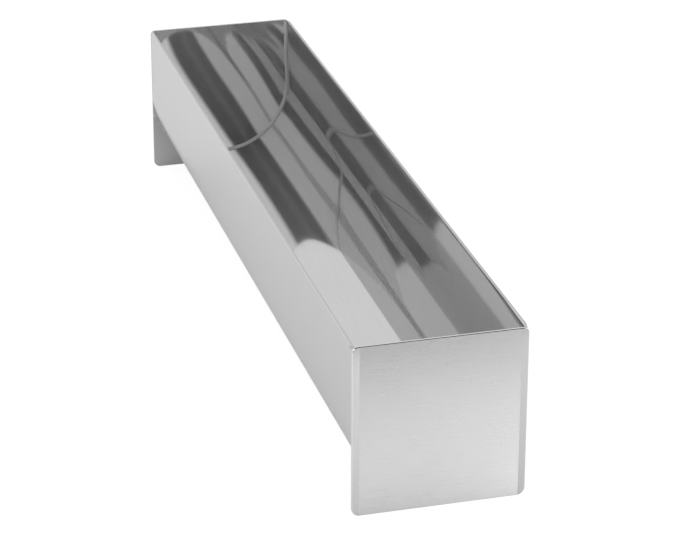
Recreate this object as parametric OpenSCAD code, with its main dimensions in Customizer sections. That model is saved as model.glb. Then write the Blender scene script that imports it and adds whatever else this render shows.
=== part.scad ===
// Half-round baking mold: a U-bent steel trough closed by two upright end
// plates that also serve as feet, with a fillet weld inside each end.
// Millimetres. +Z is up, the trough runs along Y, and the front plate is at -Y.
// The origin is on the standing surface, under the middle of the mold.

/* [Overall] */
// Length over the outer faces of the two end plates
length = 400; // [250:1:500]

// Width of the end plates
plate_w = 75; // [60:0.5:100]

// Height of the end plates, from the feet to the rim
plate_h = 77; // [60:0.5:110]

/* [Trough] */
// Thickness of the trough's sheet
sheet_t = 1.2; // [0.6:0.1:2]

// How far each trough wall stands in from the end plate's upright edge
wall_inset = 0.3; // [0.2:0.1:3]

// Gap between the trough's underside and the standing surface
foot_gap = 3.5; // [1:0.1:5]

/* [End plates] */
// Thickness of the end plates
plate_t = 1.2; // [0.8:0.1:3]

// Corner radius at the top of an end plate
top_r = 2.4; // [0.5:0.1:5]

// Corner radius at the feet of an end plate
foot_r = 3.4; // [0.5:0.1:8]

// Width of the strip ground along each upright edge of the outer face
strip_w = 3.2; // [1:0.1:8]

// How far that strip falls back by the time it reaches the edge
strip_drop = 0.15; // [0.05:0.05:0.4]

/* [Weld seams] */
// Leg of the fillet weld inside each end
weld_leg = 1.4; // [0.8:0.1:3]

/* [Hidden] */

round_fn = 96;
corner_fn = 48;

// Half-round of the trough: outer and inner radius, and the height of its axis
r_out = plate_w / 2 - wall_inset;
r_in = r_out - sheet_t;
axis_z = foot_gap + r_out;

// Straight wall above the half-round, and the trough's length between the plates
wall_h = plate_h - axis_z;
trough_l = length - 2 * plate_t;

// Outline of a filled U of radius r whose straight sides reach up past the axis
module u_outline(r, up) {
    translate([0, axis_z]) circle(r = r, $fn = round_fn);
    translate([-r, axis_z]) square([2 * r, up]);
}

// Outline of an end plate: two top corners and two foot corners, each rounded
module plate_outline() {
    half = plate_w / 2;
    translate([-half, foot_r]) square([plate_w, plate_h - foot_r - top_r]);
    translate([-half + foot_r, 0]) square([plate_w - 2 * foot_r, foot_r + 0.5]);
    translate([-half + top_r, plate_h - top_r - 0.5]) square([plate_w - 2 * top_r, top_r + 0.5]);
    for (side = [-1, 1]) {
        translate([side * (half - foot_r), foot_r]) circle(r = foot_r, $fn = corner_fn);
        translate([side * (half - top_r), plate_h - top_r]) circle(r = top_r, $fn = corner_fn);
    }
}

// Wedge that is ground away along one upright edge of the outer face at y = 0
module strip_wedge(side) {
    half = plate_w / 2;
    translate([0, 0, -1])
        linear_extrude(height = plate_h + 2)
            polygon([
                [side * (half - strip_w), -0.001],
                [side * (half + 1), -0.001],
                [side * (half + 1), strip_drop * (1 + 1 / strip_w)]
            ]);
}

// End plate with its outer face at y = 0 and its body on the +Y side
module end_plate() {
    difference() {
        translate([0, plate_t, 0])
            rotate([90, 0, 0])
                linear_extrude(height = plate_t)
                    plate_outline();
        strip_wedge(-1);
        strip_wedge(1);
    }
}

// Fillet weld that follows the trough's inner wall, against a plate face at y = 0
// and growing along +Y: one half turn under the axis and a straight run up each wall
module fillet_seam() {
    translate([0, 0, axis_z])
        rotate([-90, 0, 0])
            rotate_extrude(angle = 180, $fn = round_fn)
                polygon([[r_in - weld_leg, 0], [r_in, 0], [r_in, weld_leg]]);
    for (side = [-1, 1])
        translate([0, 0, axis_z])
            linear_extrude(height = wall_h)
                polygon([
                    [side * (r_in - weld_leg), 0],
                    [side * r_in, 0],
                    [side * r_in, weld_leg]
                ]);
}

// U-bent sheet: a half-round floor that runs up into two straight walls
module trough() {
    color([0.72, 0.72, 0.73])
        translate([0, trough_l / 2, 0])
            rotate([90, 0, 0])
                linear_extrude(height = trough_l)
                    difference() {
                        u_outline(r_out, wall_h);
                        u_outline(r_in, wall_h + 1);
                    }
}

// Plate that closes the front end, with the brushed face towards -Y
module front_end_plate() {
    color([0.76, 0.76, 0.77])
        translate([0, -length / 2, 0])
            end_plate();
}

// Plate that closes the rear end, with the brushed face towards +Y
module rear_end_plate() {
    color([0.74, 0.74, 0.75])
        translate([0, length / 2, 0])
            mirror([0, 1, 0])
                end_plate();
}

// Weld between the trough and the front plate
module front_weld_seam() {
    color([0.60, 0.60, 0.61])
        translate([0, -trough_l / 2, 0])
            fillet_seam();
}

// Weld between the trough and the rear plate
module rear_weld_seam() {
    color([0.60, 0.60, 0.61])
        translate([0, trough_l / 2, 0])
            mirror([0, 1, 0])
                fillet_seam();
}

trough();
front_end_plate();
rear_end_plate();
front_weld_seam();
rear_weld_seam();
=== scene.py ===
import math

import bmesh
import bpy
import numpy as np
from mathutils import Matrix, Vector


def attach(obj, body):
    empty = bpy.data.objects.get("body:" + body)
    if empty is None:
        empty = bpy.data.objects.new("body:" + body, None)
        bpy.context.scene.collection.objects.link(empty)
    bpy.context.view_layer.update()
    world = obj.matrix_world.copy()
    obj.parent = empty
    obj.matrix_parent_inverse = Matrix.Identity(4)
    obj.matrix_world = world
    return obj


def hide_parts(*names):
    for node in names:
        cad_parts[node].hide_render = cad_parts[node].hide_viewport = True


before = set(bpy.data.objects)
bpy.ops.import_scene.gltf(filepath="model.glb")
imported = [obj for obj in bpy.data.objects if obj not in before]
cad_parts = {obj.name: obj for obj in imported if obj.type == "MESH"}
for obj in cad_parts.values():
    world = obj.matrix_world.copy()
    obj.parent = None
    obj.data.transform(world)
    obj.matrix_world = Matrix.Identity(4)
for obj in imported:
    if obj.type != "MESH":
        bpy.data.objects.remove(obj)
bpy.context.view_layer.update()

# ---------------------------------------------------------------- sizes (mm)
MM = 0.001
LENGTH, PLATE_W, PLATE_H = 400.0, 75.0, 77.0
SHEET_T, PLATE_T = 1.2, 1.2
WALL_INSET, FOOT_GAP = 0.3, 3.5
TOP_R, FOOT_R = 2.4, 3.4
STRIP_W, STRIP_DROP = 3.2, 0.15
WELD_LEG = 1.4
R_OUT = PLATE_W / 2 - WALL_INSET
R_IN = R_OUT - SHEET_T
AXIS_Z = FOOT_GAP + R_OUT
TROUGH_L = LENGTH - 2 * PLATE_T

scene = bpy.context.scene


# ------------------------------------------------------------------ materials
def new_material(name):
    m = bpy.data.materials.new(name)
    m.use_nodes = True
    nt = m.node_tree
    bsdf = nt.nodes["Principled BSDF"]
    return m, nt, bsdf


def add(nt, kind, **props):
    n = nt.nodes.new(kind)
    for k, v in props.items():
        setattr(n, k, v)
    return n


def mapped_noise(nt, scale, detail=3.0, rough=0.55, noise_scale=1.0):
    """Noise in the piece's own coordinates (metres), stretched by a scale per axis."""
    tc = add(nt, "ShaderNodeTexCoord")
    mp = add(nt, "ShaderNodeMapping")
    mp.inputs["Scale"].default_value = scale
    nz = add(nt, "ShaderNodeTexNoise")
    nz.inputs["Scale"].default_value = noise_scale
    nz.inputs["Detail"].default_value = detail
    nz.inputs["Roughness"].default_value = rough
    nt.links.new(tc.outputs["Object"], mp.inputs["Vector"])
    nt.links.new(mp.outputs["Vector"], nz.inputs["Vector"])
    return nz.outputs["Fac"]


def ramp(nt, fac, lo, hi, p0=0.3, p1=0.7):
    r = add(nt, "ShaderNodeMapRange")
    r.inputs["From Min"].default_value = p0
    r.inputs["From Max"].default_value = p1
    r.inputs["To Min"].default_value = lo
    r.inputs["To Max"].default_value = hi
    nt.links.new(fac, r.inputs["Value"])
    return r.outputs["Result"]


def grey(nt, value):
    c = add(nt, "ShaderNodeCombineColor")
    for k in ("Red", "Green", "Blue"):
        nt.links.new(value, c.inputs[k])
    return c.outputs["Color"]


def math_node(nt, op, a, b=None):
    n = add(nt, "ShaderNodeMath", operation=op)
    for i, v in enumerate((a, b)):
        if v is None:
            continue
        if isinstance(v, (int, float)):
            n.inputs[i].default_value = v
        else:
            nt.links.new(v, n.inputs[i])
    return n.outputs["Value"]


def bump(nt, height, strength, distance):
    b = add(nt, "ShaderNodeBump")
    b.inputs["Strength"].default_value = strength
    b.inputs["Distance"].default_value = distance
    nt.links.new(height, b.inputs["Height"])
    return b.outputs["Normal"]


def steel(name, base, streak_scale, rough, tint=0.85, aniso=0.0, turn=0.0, base_var=0.015, bump_strength=0.0, bump_dist=2e-6,
          cloud=0.01, metal=1.0, painted_light_x=0.0, painted_shade_y=0.0):
    """Bare stainless steel: fine streaks along one axis over a soft cloudiness. A metal value
    a little under 1 leaves the faint veil that fine polishing marks put over a mirror finish.
    It may also carry painted light: lighter towards +X and darker towards -X, most so at the foot, as painted light
    from the right and painted contact shade; or darker towards the rear, as painted shade."""
    m, nt, b = new_material(name)
    b.inputs["Metallic"].default_value = metal
    b.inputs["Specular Tint"].default_value = (tint, tint, tint, 1.0)
    fine = mapped_noise(nt, streak_scale, 4.0, 0.6)
    soft = mapped_noise(nt, (38.0, 22.0, 38.0), 2.0, 0.5)
    value = math_node(nt, "ADD", ramp(nt, fine, base - base_var, base + base_var),
                      ramp(nt, soft, -cloud, cloud))
    if painted_light_x or painted_shade_y:
        where = add(nt, "ShaderNodeSeparateXYZ")
        nt.links.new(add(nt, "ShaderNodeTexCoord").outputs["Object"], where.inputs["Vector"])
        if painted_light_x:
            # painted light and shade: lighter towards +X, darker towards -X, 2.3 times as strong at the foot as 20 mm
            # up
            more = math_node(nt, "MULTIPLY", where.outputs["X"], ramp(nt, where.outputs["Z"], 2.3 * painted_light_x, painted_light_x, 0.0, 0.02))
            value = math_node(nt, "ADD", value, more)
        if painted_shade_y:
            # painted shade: darker over the rear half, reaching full strength 0.2 m back
            value = math_node(nt, "SUBTRACT", value, ramp(nt, where.outputs["Y"], 0.0, painted_shade_y, 0.0, 0.2))
    nt.links.new(grey(nt, value), b.inputs["Base Color"])
    nt.links.new(math_node(nt, "ADD", ramp(nt, fine, rough[0], rough[1]), ramp(nt, soft, 0.0, rough[2])),
                 b.inputs["Roughness"])
    if aniso:
        b.inputs["Anisotropic"].default_value = aniso
        b.inputs["Anisotropic Rotation"].default_value = turn
        tg = add(nt, "ShaderNodeTangent", direction_type="RADIAL", axis="Z")
        nt.links.new(tg.outputs["Tangent"], b.inputs["Tangent"])
    if bump_strength:
        nt.links.new(bump(nt, fine, bump_strength, bump_dist), b.inputs["Normal"])
    return m


mat_inside = steel("polished_inside", 0.605, (1400.0, 40.0, 1400.0), (0.056, 0.061, 0.005), tint=0.80, base_var=0.011, cloud=0.004,
                   metal=0.87)
mat_mirror = steel("polished_plate_inside", 0.605, (1400.0, 1400.0, 40.0), (0.022, 0.026, 0.003), tint=0.80, base_var=0.005, cloud=0.004,
                   metal=0.87)
# the feet's inner faces are rougher, and darker as painted shade for the shadowed table they reflect
mat_foot_painted_shade = steel("dull_foot_inside_painted_shade", 0.49, (900.0, 900.0, 60.0), (0.10, 0.12, 0.02), tint=0.80, base_var=0.012, cloud=0.01, metal=0.87)
# the walls' outside carries painted shade: darker towards the rear
mat_outside = steel("satin_outside", 0.60, (1700.0, 160.0, 700.0), (0.235, 0.25, 0.01), base_var=0.012, cloud=0.008, painted_shade_y=0.07)
mat_rim = steel("dressed_rim", 0.505, (1500.0, 40.0, 1500.0), (0.14, 0.20, 0.02), base_var=0.015)
# a dark colour for the right rim's outer arris: a painted line of shade
mat_arris_painted_shade = steel("rim_arris_painted_shade", 0.24, (1500.0, 60.0, 1500.0), (0.20, 0.30, 0.03), tint=0.7, base_var=0.03)
# a light colour for the left rim's outer arris: a painted highlight
mat_arris_painted_highlight = steel("arris_painted_highlight", 0.68, (1500.0, 40.0, 1500.0), (0.14, 0.20, 0.02), base_var=0.015)
mat_edge = steel("plate_edge", 0.66, (60.0, 1500.0, 1500.0), (0.030, 0.036, 0.004), base_var=0.006)
# the plates' outer faces carry painted light: lighter towards +X, with painted contact shade at the lower left
mat_brushed = steel("crosswise_brushed", 0.708, (60.0, 2000.0, 2000.0), (0.25, 0.33, 0.02), aniso=0.75, turn=0.25,
                    base_var=0.030, cloud=0.012, bump_strength=0.03, bump_dist=4e-6, painted_light_x=0.9)
mat_strip = steel("upright_ground_strip", 0.59, (1800.0, 1800.0, 60.0), (0.17, 0.23, 0.02), aniso=1.0, turn=0.0,
                  base_var=0.018, cloud=0.006, bump_strength=0.05, bump_dist=4e-6)
# the right strip is a darker copy of the left one: painted shade
mat_strip_right_painted_shade = steel("upright_ground_strip_right_painted_shade", 0.545, (1800.0, 1800.0, 60.0), (0.17, 0.23, 0.02), aniso=1.0, turn=0.0,
                        base_var=0.018, cloud=0.006, bump_strength=0.05, bump_dist=4e-6)
mat_weld = steel("dressed_weld", 0.57, (500.0, 500.0, 500.0), (0.42, 0.52, 0.04), base_var=0.03, cloud=0.015, metal=0.6)


# --------------------------------------------------------------------- shapes
def link(obj):
    scene.collection.objects.link(obj)
    return obj


def set_normals(me, normals):
    """Give each corner of each face its own normal, kept at full precision."""
    a = me.attributes.new("custom_normal", "FLOAT_VECTOR", "CORNER")
    a.data.foreach_set("vector", np.array(normals, dtype=np.float32).ravel())
    me.update()


# As-made shape of the trough's inner skin: how far it lies outside a plain U (mm), at even
# steps along the sheet from the left rim round the floor to the right rim.
SKIN_OUT = (0.399, 0.644, 0.744, 0.747, 0.576, 0.452, 0.250, 0.192, 0.012, -0.043, -0.295, -0.667, -0.921, -1.026, -0.840,
            -0.735, -0.489, -0.300, -0.075, 0.500, 0.572, 0.224, 0.091, 0.076, 0.098)
# Inner face of the rear plate after welding: slopes, in degrees at half a plate's width from
# the middle, by power of (x, z), and slopes that die away from the weld and from the top edge.
REAR_SLOPE = {(1, 0): -0.891, (0, 1): 1.597, (2, 0): 0.557, (1, 1): -0.025, (0, 2): 0.438, (3, 0): 0.415, (2, 1): -0.588,
              (1, 2): 0.787, (0, 3): -0.272, (4, 0): 0.293, (2, 2): -0.746, (0, 4): 0.159}
REAR_PULL = dict(left=-0.531, floor=0.467, right=-2.459)
PULL_FALL = 6.0
REAR_TOP = dict(left=-0.747, right=-4.374, left_fall=6.371, right_fall=21.542, shape=1.083)
# rounding of the rim's edges, mm: left inside and outside, right inside and outside
RIM_E = (0.20, 0.17, 0.08, 0.25)
RIM_LOW = 0.32  # height below the rim at which the plain skins stop
SWELL = 0.25    # dressing has left the outside of the walls nearly flush with the plates, mm
BOW = 0.1       # and the inside springs outwards a little between the plates
SIDE = math.pi / 2 * R_IN          # sheet length from the floor's middle to the start of a wall
REACH = SIDE + PLATE_H - AXIS_Z    # and to the rim


def cubic(xs, ys):
    """Natural cubic spline through evenly spaced points, as a function."""
    n, h = len(xs), xs[1] - xs[0]
    a = np.zeros((n, n)); b = np.zeros(n)
    a[0, 0] = a[-1, -1] = 1.0
    for i in range(1, n - 1):
        a[i, i - 1:i + 2] = (h, 4 * h, h)
        b[i] = 6 * (ys[i + 1] - 2 * ys[i] + ys[i - 1]) / h
    m2 = np.linalg.solve(a, b)

    def f(s):
        i = int(min(max((s - xs[0]) // h, 0), n - 2))
        u, v = xs[i + 1] - s, s - xs[i]
        y = (m2[i] * u ** 3 + m2[i + 1] * v ** 3) / (6 * h) + (ys[i] / h - m2[i] * h / 6) * u + (ys[i + 1] / h - m2[i + 1] * h / 6) * v
        d = (-m2[i] * u ** 2 + m2[i + 1] * v ** 2) / (2 * h) - (ys[i] / h - m2[i] * h / 6) + (ys[i + 1] / h - m2[i + 1] * h / 6)
        return y, d
    return f


skin = cubic(np.linspace(-REACH, REACH, len(SKIN_OUT)), np.array(SKIN_OUT))


def skin_at(s):
    """Point (x, z) of the inner skin at sheet length s, and the direction into the trough."""
    out, rise = skin(s)
    t = max(-math.pi / 2, min(math.pi / 2, s / R_IN))
    nx, nz = -math.sin(t), math.cos(t)
    x, z = R_IN * math.sin(t), AXIS_Z - R_IN * math.cos(t)
    if abs(s) > SIDE:
        z += abs(s) - SIDE
    x, z = x - out * nx, z - out * nz
    n = Vector((nx + rise * math.cos(t), nz + rise * math.sin(t))).normalized()
    return (x, z), (n.x, n.y)


def outer_at(s):
    """The same for the outer skin, a plain U."""
    t = max(-math.pi / 2, min(math.pi / 2, s / R_IN))
    x, z = R_OUT * math.sin(t), AXIS_Z - R_OUT * math.cos(t)
    if abs(s) > SIDE:
        z += abs(s) - SIDE
    return (x, z), (math.sin(t), -math.cos(t))


def rear_normal(x, z):
    """Way the rear plate's inner face looks at a point, after welding has pulled it a little out of flat."""
    u, v = x / 37.0, (z - 40.0) / 37.0
    sx = sum(q * i * u ** (i - 1) * v ** j for (i, j), q in REAR_SLOPE.items() if i)
    sz = sum(q * j * u ** i * v ** (j - 1) for (i, j), q in REAR_SLOPE.items() if j)
    p, t = REAR_PULL, REAR_TOP
    if z > AXIS_Z:
        sx += p["right"] * math.exp(-max(R_IN - x, 0.0) / PULL_FALL) - p["left"] * math.exp(-max(R_IN + x, 0.0) / PULL_FALL)
    else:
        rho = max(math.hypot(x, z - AXIS_Z), 1e-3)
        c = x / rho
        q = p["left"] * -c + p["floor"] * (1 + c) if c < 0 else p["right"] * c + p["floor"] * (1 - c)
        q *= math.exp(-max(R_IN - rho, 0.0) / PULL_FALL)
        sx += q * c
        sz += q * (z - AXIS_Z) / rho
    k = max(0.0, min(1.0, (x + R_IN) / (2 * R_IN)))
    fall = t["left_fall"] + (t["right_fall"] - t["left_fall"]) * k
    sz += (t["left"] + (t["right"] - t["left"]) * k) * math.exp(-(max(PLATE_H - z, 0.0) / fall) ** t["shape"])
    return Vector((-math.radians(sx), -1.0, -math.radians(sz))).normalized()


REAR_Y, FRONT_Y = TROUGH_L / 2, -TROUGH_L / 2


def roll_turn(k):
    """How far the top of the right wall has rolled outwards, k of the way along the trough."""
    return math.radians(21.5 + 9.5 * math.exp(-k / 0.12))


def roll_height(k):
    """Height of that roll, in mm; polishing has widened it at the front."""
    return min(3.6, 0.75 + 4.6 * math.exp(-k / 0.062) - 0.5 * math.exp(-((k - 0.16) / 0.07) ** 2))


def trough_mesh():
    arc = [math.radians(a) for a in (0, 15, 30, 45, 60, 75)]
    ring, norm, mat, kind = [], [], [], []

    def put(p, n, m, tag=None):
        ring.append(p); norm.append(n); mat.append(m); kind.append(tag)

    def rim(x_from, x_to, e_from, e_to, first, last, tag):
        d = 1.0 if x_to > x_from else -1.0
        for a in arc:
            put((x_from + d * (e_from - e_from * math.cos(a)), PLATE_H - e_from + e_from * math.sin(a)),
                (-d * math.cos(a), math.sin(a)), first, tag)
        put((x_from + d * e_from, PLATE_H), (0.0, 1.0), 2, tag)
        put((x_to - d * e_to, PLATE_H), (0.0, 1.0), last, "in" if tag == "out" else "out")
        for a in arc[::-1]:
            put((x_to - d * (e_to - e_to * math.cos(a)), PLATE_H - e_to + e_to * math.sin(a)), (d * math.cos(a), math.sin(a)), last,
                "in" if tag == "out" else "out")

    # material of the face that starts at each ring point: 0 inside, 1 outside, 2 rim, 3 right arris (painted shade), 4
    # left arris (painted highlight)
    top = REACH - RIM_LOW
    rolled = [3.9, 3.6, 3.3, 3.0, 2.7, 2.4, 2.1, 1.8, 1.55, 1.3, 1.1, 0.9, 0.75, 0.6, 0.5, 0.4]
    lengths = [-top, -REACH + 1.5] + list(np.linspace(-REACH + 3.0, REACH - 4.2, 481)) + [REACH - d for d in rolled] + [top]
    for s in lengths:
        p, n = skin_at(s)
        # the sheet keeps its thickness at the rim, where the skins would draw together
        x = p[0] + 0.30 * max(0.0, 1.0 - (s + REACH) / 6.0) - 0.15 * max(0.0, 1.0 - (REACH - s) / 6.0)
        put((x, p[1]), n, 0, s if s > REACH - 4.0 else "in")
    # the right rim's outer arris takes the dark colour, painted shade
    rim(ring[-1][0], R_OUT, RIM_E[2], RIM_E[3], 0, 3, "lip")
    first_outer = len(ring)
    for s in reversed(lengths):
        p, n = outer_at(s)
        put(p, n, 1, "out")
    mat[-1] = 2
    # the left rim's outer arris takes the light colour, a painted highlight
    rim(-R_OUT, ring[0][0], RIM_E[1], RIM_E[0], 4, 0, "out")
    ring, norm = np.array(ring), np.array(norm)
    m = len(ring)
    near = np.array([0.0, 0.8, 1.6, 2.4, 3.2]) / TROUGH_L
    steps = np.concatenate([near, np.linspace(0.015, 0.985, 84), 1.0 - near[::-1]])
    cx, cz = PLATE_W / 2 - TOP_R, PLATE_H - TOP_R
    verts, vnor = [], []
    for k in steps:
        bow = BOW * 4 * k * (1 - k)
        end = max(0.0, 1.0 - min(k, 1.0 - k) * TROUGH_L / 3.2)
        high, turn = roll_height(k), roll_turn(k)
        wide = min(0.5 * math.tan(turn) * high, 0.30)
        for i in range(m):
            px, pz = ring[i]
            up = max(0.0, min(1.0, (pz - 8.0) / 30.0))
            up = up * up * (3 - 2 * up)
            x = px + math.copysign((SWELL if kind[i] == "out" else bow) * up, px)
            z = pz
            nx, nz = norm[i]
            if kind[i] == "lip":
                x += wide
                a = max(math.atan2(nz, -nx), turn)
                nx, nz = -math.cos(a), math.sin(a)
            elif kind[i] not in ("in", "out"):
                q = max(0.0, (kind[i] - (top - high)) / high)
                x += wide * q * q
                c, t = math.cos(turn * q), math.sin(turn * q)
                nx, nz = nx * c + nz * t, nz * c - nx * t
            # the rim's ends are dressed down with the plate's rounded corners
            gx, gz = abs(x) - cx, z - cz
            far = math.hypot(gx, gz)
            if end > 0 and gx > 0 and gz > 0 and far > TOP_R:
                q = 1 + (TOP_R / far - 1) * end
                x, z = math.copysign(cx + gx * q, x), cz + gz * q
            y = FRONT_Y + (REAR_Y - FRONT_Y) * k
            nn = Vector((nx, 0.0, nz)).normalized()
            verts.append((x * MM, y * MM, z * MM))
            vnor.append(tuple(nn))
    faces, fmat, lnor = [], [], []
    for j in range(len(steps) - 1):
        for i in range(m):
            a, b = j * m + i, j * m + (i + 1) % m
            f = (a, b, b + m, a + m)
            faces.append(f); fmat.append(mat[i]); lnor += [vnor[v] for v in f]
    # the two end faces
    n_i = len(lengths)
    for base, ny in ((0, -1.0), ((len(steps) - 1) * m, 1.0)):
        quads = []
        for i in range(n_i - 1):
            o = first_outer + (n_i - 1 - i)
            quads.append((base + i, base + o, base + o - 1, base + i + 1))
        rim_r = [base + v for v in range(n_i - 1, first_outer + 1)]
        rim_l = [base + v for v in range(first_outer + n_i - 1, m)] + [base]
        for q in quads + [tuple(rim_r), tuple(rim_l)]:
            area = 0.0
            for k in range(len(q)):
                pa, pb = verts[q[k]], verts[q[(k + 1) % len(q)]]
                area += pa[2] * pb[0] - pa[0] * pb[2]
            if area * ny < 0:
                q = tuple(reversed(q))
            faces.append(q); fmat.append(1); lnor += [(0.0, ny, 0.0)] * len(q)
    me = bpy.data.meshes.new("trough_shell")
    me.from_pydata(verts, [], faces)
    me.polygons.foreach_set("material_index", fmat)
    me.polygons.foreach_set("use_smooth", [True] * len(faces))
    for mt in (mat_inside, mat_outside, mat_rim, mat_arris_painted_shade, mat_arris_painted_highlight):
        me.materials.append(mt)
    me.update()
    set_normals(me, lnor)
    return link(bpy.data.objects.new("trough_shell", me))


def plate_outline(inset=0.0, seg=12):
    half = PLATE_W / 2
    pts = []
    for cx, cz, r, a0 in ((half - FOOT_R, FOOT_R, FOOT_R, -90), (half - TOP_R, PLATE_H - TOP_R, TOP_R, 0),
                          (-half + TOP_R, PLATE_H - TOP_R, TOP_R, 90), (-half + FOOT_R, FOOT_R, FOOT_R, 180)):
        for i in range(seg + 1):
            a = math.radians(a0 + 90 * i / seg)
            pts.append((cx + (r - inset) * math.cos(a), cz + (r - inset) * math.sin(a)))
    return pts


def outward(x, z):
    """Direction (x, z) out of the nearest edge of an end plate."""
    half = PLATE_W / 2
    for r, cz, low in ((TOP_R, PLATE_H - TOP_R, False), (FOOT_R, FOOT_R, True)):
        gx, gz = abs(x) - (half - r), z - cz
        if gx > 0 and (gz < 0 if low else gz > 0):
            far = math.hypot(gx, gz)
            return math.copysign(gx / far, x), gz / far
    side, top, foot = half - abs(x), PLATE_H - z, z
    if side <= min(top, foot):
        return math.copysign(1.0, x), 0.0
    return (0.0, 1.0) if top < foot else (0.0, -1.0)


def plate_mesh(name, front):
    """End plate with broken edges, its outer face ground back a little along each upright edge."""
    half = PLATE_W / 2
    bm = bmesh.new()
    loops = []
    # outer edges are broken with a small chamfer, inner ones rounded: (inset, depth, turn in degrees)
    e_in, r_a, r_b, flat, turn = 0.15, 0.12, 0.10, 0.34, 43.0
    ct, st = math.cos(math.radians(turn)), math.sin(math.radians(turn))
    inset = r_a * st + flat * ct + r_b * (1 - st)
    edge = [(inset - r_a * math.sin(math.radians(a)), r_a * (1 - math.cos(math.radians(a))), a) for a in (0, 14, 28, turn)]
    mid, low = inset - r_a * st - flat * ct, r_a * (1 - ct) + flat * st
    edge += [(mid - r_b * (math.sin(math.radians(a)) - st), low + r_b * (ct - math.cos(math.radians(a))), a) for a in (turn, 58, 74, 90)]
    e_out = edge[-1][1]
    levels = [(max(i, 0.0), d) for i, d, a in edge]
    levels += [(e_in * (1 - math.cos(math.radians(a))), PLATE_T - e_in * (1 - math.sin(math.radians(a)))) for a in (0, 22.5, 45, 67.5, 90)]
    # levels run from the outer face round the edge to the inner face as (inset, depth)
    for inset, depth in levels:
        loops.append([bm.verts.new((x, depth, z)) for x, z in plate_outline(inset)])
    n = len(loops[0])
    for la, lb in zip(loops, loops[1:]):
        for i in range(n):
            bm.faces.new((la[i], la[(i + 1) % n], lb[(i + 1) % n], lb[i]))
    bm.faces.new(loops[0][::-1])
    bm.faces.new(loops[-1])
    bmesh.ops.recalc_face_normals(bm, faces=bm.faces)
    edge_x = half - STRIP_W
    cells = 12 if front else 36
    xs = [-edge_x, edge_x] + [-edge_x + 2 * edge_x * k / cells for k in range(1, cells)]
    zs = [PLATE_H * k / (cells + 2) for k in range(1, cells + 2)]
    if not front:
        zs += [PLATE_H - d for d in (0.5, 1.0, 1.5, 2.5, 3.2, 5.2, 7.1)]
    for x in xs:
        bmesh.ops.bisect_plane(bm, geom=bm.verts[:] + bm.edges[:] + bm.faces[:], plane_co=(x, 0, 0), plane_no=(1, 0, 0))
    for z in zs:
        bmesh.ops.bisect_plane(bm, geom=bm.verts[:] + bm.edges[:] + bm.faces[:], plane_co=(0, 0, z), plane_no=(0, 0, 1))
    for f in bm.faces:
        f.smooth = True
        if all(v.co.y < 1e-4 for v in f.verts):
            cx = f.calc_center_median().x
            # material 4, the right strip, is the darker copy: painted shade
            f.material_index = 4 if cx > edge_x else 1 if cx < -edge_x else 0
        elif all(v.co.y > PLATE_T - 1e-4 for v in f.verts):
            # polished inside the trough; where the plate stands out beyond it as a foot, rougher and painted darker, as
            # painted shade for the shadowed table that part reflects
            beyond = [math.hypot(v.co.x, min(v.co.z - AXIS_Z, 0.0)) > R_IN for v in f.verts]
            f.material_index = 5 if all(beyond) else 2
        else:
            f.material_index = 3
    # (x, depth, z) of each vertex before the strips are ground back and the plate is set in place
    bm.verts.ensure_lookup_table()
    plain = [tuple(v.co) for v in bm.verts]
    fall = STRIP_DROP / STRIP_W
    for v in bm.verts:
        depth = v.co.y + fall * max(0.0, abs(v.co.x) - edge_x) * (1 - v.co.y / PLATE_T)
        y = FRONT_Y - PLATE_T + depth if front else REAR_Y + PLATE_T - depth
        v.co = Vector((v.co.x * MM, y * MM, v.co.z * MM))
    if not front:
        bmesh.ops.reverse_faces(bm, faces=bm.faces[:])

    def normal_at(m, x, d, z):
        if m in (2, 5):
            return Vector((0.0, 1.0, 0.0)) if front else rear_normal(x, z) if m == 2 else Vector((0.0, -1.0, 0.0))
        ox, oz = outward(x, z)
        lean = math.copysign(fall, x) if abs(x) > edge_x - 1e-4 and m != 0 else 0.0
        if m in (0, 1, 4) or d <= 0:
            nn = Vector((lean, -1.0, 0.0))
        elif d < e_out:
            a = math.radians(float(np.interp(d, [v[1] for v in edge], [v[2] for v in edge])))
            c, q = math.cos(a), math.sin(a)
            nn = Vector((ox * q + lean * c, -c, oz * q))
        else:
            q = max(0.0, min(1.0, 1 - (PLATE_T - d) / e_in))
            c = math.sqrt(1 - q * q)
            nn = Vector((ox * c, q, oz * c))
        if not front:
            nn.y = -nn.y
        return nn.normalized()

    me = bpy.data.meshes.new(name)
    bm.to_mesh(me); bm.free()
    for mt in (mat_brushed, mat_strip, mat_mirror, mat_edge, mat_strip_right_painted_shade, mat_foot_painted_shade):
        me.materials.append(mt)
    lnor = []
    for poly in me.polygons:
        lnor += [tuple(normal_at(poly.material_index, *plain[i])) for i in poly.vertices]
    set_normals(me, lnor)
    return link(bpy.data.objects.new(name, me))


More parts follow.
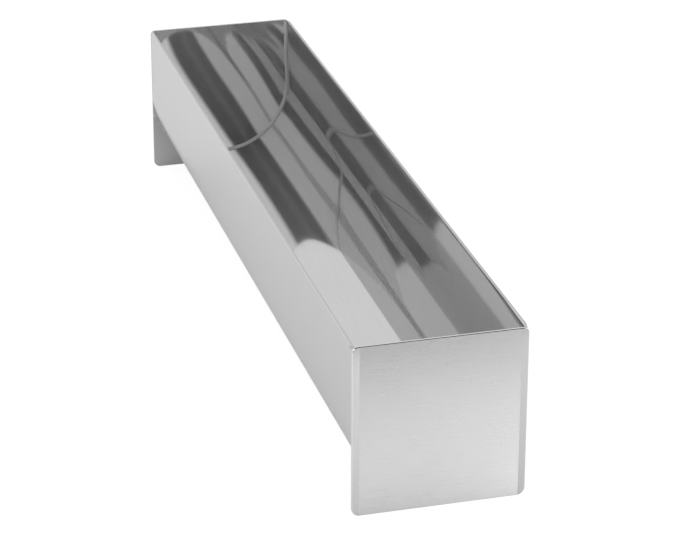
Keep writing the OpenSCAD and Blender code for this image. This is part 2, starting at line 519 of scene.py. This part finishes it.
def weld_mesh(name, front):
    """Bead that fills the corner between the trough and an end plate, with the faint ripple of a dressed weld."""
    steps = np.linspace(-REACH + 0.6, REACH - 0.6, 520)
    arc = [0.0, 0.17, 0.34, 0.5, 0.66, 0.83, 1.0]
    verts, faces = [], []
    m = len(arc) + 1
    for s in steps:
        (px, pz), (nx, nz) = skin_at(s)
        leg = WELD_LEG * (0.76 + 0.02 * math.sin(s * 2 * math.pi / 1.7))
        sec = [(0.0, 0.0)]
        for t in arc:
            hollow = 0.10 * leg * math.sin(math.pi * t)
            # from the wall side (t = 0) to the plate side (t = 1)
            sec.append((leg * t - hollow * 0.7, leg * (1 - t) - hollow * 0.7))
        for a, b in sec:
            x, z = px + nx * a, min(pz + nz * a, PLATE_H)
            y = FRONT_Y + b if front else REAR_Y - b
            verts.append((x * MM, y * MM, z * MM))
    for i in range(len(steps) - 1):
        for j in range(m):
            a, b = i * m + j, i * m + (j + 1) % m
            faces.append((a, b, b + m, a + m))
    faces.append(tuple(range(m))[::-1])
    faces.append(tuple((len(steps) - 1) * m + j for j in range(m)))
    me = bpy.data.meshes.new(name)
    me.from_pydata(verts, [], faces)
    bm = bmesh.new(); bm.from_mesh(me)
    bmesh.ops.recalc_face_normals(bm, faces=bm.faces)
    for f in bm.faces:
        f.smooth = len(f.verts) == 4
    bm.to_mesh(me); bm.free()
    me.set_sharp_from_angle(angle=math.radians(50))
    me.materials.append(mat_weld)
    return link(bpy.data.objects.new(name, me))


trough = trough_mesh()
front_plate = plate_mesh("front_plate_dressed", True)
rear_plate = plate_mesh("rear_plate_dressed", False)
front_weld = weld_mesh("front_weld_bead", True)
rear_weld = weld_mesh("rear_weld_bead", False)
for piece, node, slot in ((trough, "trough", "polished_sheet"), (front_plate, "front_end_plate", "brushed_plate"),
                          (rear_plate, "rear_end_plate", "brushed_plate"), (front_weld, "front_weld_seam", "weld_bead"),
                          (rear_weld, "rear_weld_seam", "weld_bead")):
    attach(piece, "root")
    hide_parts(node)

# ---------------------------------------------------------------------- stage
# White table, which ends a little way in front of the mold: one sheet that lights and shades
# naturally, for the steel to reflect, and just over it the pale seamless floor that is seen.
TABLE_FRONT = -0.358


def floor_sheet(name, height, albedo, glow):
    me = bpy.data.meshes.new(name)
    bm = bmesh.new()
    bmesh.ops.create_grid(bm, x_segments=8, y_segments=8, size=6.0)
    for v in bm.verts:
        v.co.y = TABLE_FRONT + (v.co.y + 6.0) * (6.0 - TABLE_FRONT) / 12.0
        v.co.z = height
    bm.to_mesh(me); bm.free()
    ob = link(bpy.data.objects.new(name, me))
    m, nt, b = new_material(name)
    b.inputs["Roughness"].default_value = 0.9
    b.inputs["Specular IOR Level"].default_value = 0.0
    if glow:
        b.inputs["Emission Color"].default_value = (1.0, 1.0, 1.0, 1.0)
        b.inputs["Emission Strength"].default_value = glow
    nt.links.new(grey(nt, ramp(nt, mapped_noise(nt, (2.0, 2.0, 2.0), 2.0), albedo - 0.005, albedo + 0.005)), b.inputs["Base Color"])
    me.materials.append(m)
    return ob


table = floor_sheet("white_table", 0.0, 0.73, 0.09)
table.visible_camera = False
floor = floor_sheet("pale_floor", 2e-5, 0.10, 0.93)
for ray in ("visible_diffuse", "visible_glossy", "visible_transmission", "visible_shadow"):
    setattr(floor, ray, False)

# soft white surroundings; the side the camera looks from is darker, as in a light tent
# with an open front. Only mirror-like reflections see that opening: the floor is lit evenly.
world = bpy.data.worlds.new("light_tent")
scene.world = world
world.use_nodes = True
wt = world.node_tree
bg = wt.nodes["Background"]
tc = add(wt, "ShaderNodeTexCoord")
sep = add(wt, "ShaderNodeSeparateXYZ")
wt.links.new(tc.outputs["Generated"], sep.inputs["Vector"])
X, Y, Z = sep.outputs["X"], sep.outputs["Y"], sep.outputs["Z"]


def step_up(value, centre, half):
    r = add(wt, "ShaderNodeMapRange", interpolation_type="SMOOTHSTEP")
    r.inputs["From Min"].default_value = centre - half
    r.inputs["From Max"].default_value = centre + half
    wt.links.new(value, r.inputs["Value"])
    return r.outputs["Result"]


def flip(value):
    return math_node(wt, "SUBTRACT", 1.0, value)


def blend(k, a, b):
    """a where k is 0, b where k is 1; a and b are numbers or sockets."""
    return math_node(wt, "ADD", math_node(wt, "MULTIPLY", flip(k), a), math_node(wt, "MULTIPLY", k, b))


TENT_RIGHT, TENT_RIGHT_SOFT = 8.54, 4.00  # degrees of roll about the long axis
TENT_LEFT, TENT_LEFT_SOFT = -42.49, 6.33
TENT_SKEW = 11.2
TENT_DARK, TENT_FAINT, DARK_LOW, TENT_HIGH = 0.05, 0.12, 0.12, 0.12
TENT_BRIGHT, TENT_BRIGHT_LEFT, TENT_BACK = 1.42, 1.58, 1.015
roll = math_node(wt, "MULTIPLY", math_node(wt, "ARCTAN2", X, Z), 180 / math.pi)
# the opening's right side leans, so that it is wider towards the top
lean = math_node(wt, "MULTIPLY", math_node(wt, "ADD", Y, 0.9), TENT_SKEW)
right_of = step_up(math_node(wt, "SUBTRACT", roll, lean), TENT_RIGHT, TENT_RIGHT_SOFT)
left_of = flip(step_up(roll, TENT_LEFT, TENT_LEFT_SOFT))
# a faint light patch stands in the opening
faint = math_node(wt, "MULTIPLY", step_up(roll, -25.0, 6.0), flip(step_up(roll, -14.0, 6.0)))
front_level = blend(right_of, blend(faint, TENT_DARK, TENT_FAINT), TENT_BRIGHT)
front_level = blend(left_of, front_level, TENT_BRIGHT_LEFT)
# and it stays dark high up and under the table's edge
front_level = blend(step_up(Z, 0.66, 0.08), front_level, TENT_HIGH)
front_level = blend(step_up(Z, 0.0, 0.05), DARK_LOW, front_level)
towards = flip(step_up(Y, -0.20, 0.08))
level = blend(towards, TENT_BACK, front_level)
path = add(wt, "ShaderNodeLightPath")
plain = math_node(wt, "MAXIMUM", path.outputs["Is Camera Ray"], path.outputs["Is Diffuse Ray"])
level = blend(plain, level, 1.4)
wt.links.new(grey(wt, level), bg.inputs["Color"])
bg.inputs["Strength"].default_value = 1.0

# --------------------------------------------------------------------- camera
cam_pos = Vector((-303.2223, -1155.7079, 554.8668)) * MM
right = Vector((0.96491223, -0.26256946, 0.00129101))
down = Vector((-0.10579788, -0.39328551, -0.91330899))
fwd = Vector((0.24031478, 0.88112643, -0.40726529))
cam_data = bpy.data.cameras.new("camera")
cam_data.sensor_fit = "HORIZONTAL"
cam_data.sensor_width = 36.0
cam_data.lens = 2753.0 * 36.0 / 680.0
cam_data.clip_start, cam_data.clip_end = 0.05, 50.0
cam = link(bpy.data.objects.new("camera", cam_data))
cam.matrix_world = Matrix(((right.x, -down.x, -fwd.x, cam_pos.x), (right.y, -down.y, -fwd.y, cam_pos.y),
                           (right.z, -down.z, -fwd.z, cam_pos.z), (0, 0, 0, 1)))
scene.camera = cam

scene.view_settings.view_transform = "Standard"
scene.view_settings.look = "None"
scene.view_settings.exposure = 0.0
scene.view_settings.gamma = 1.0
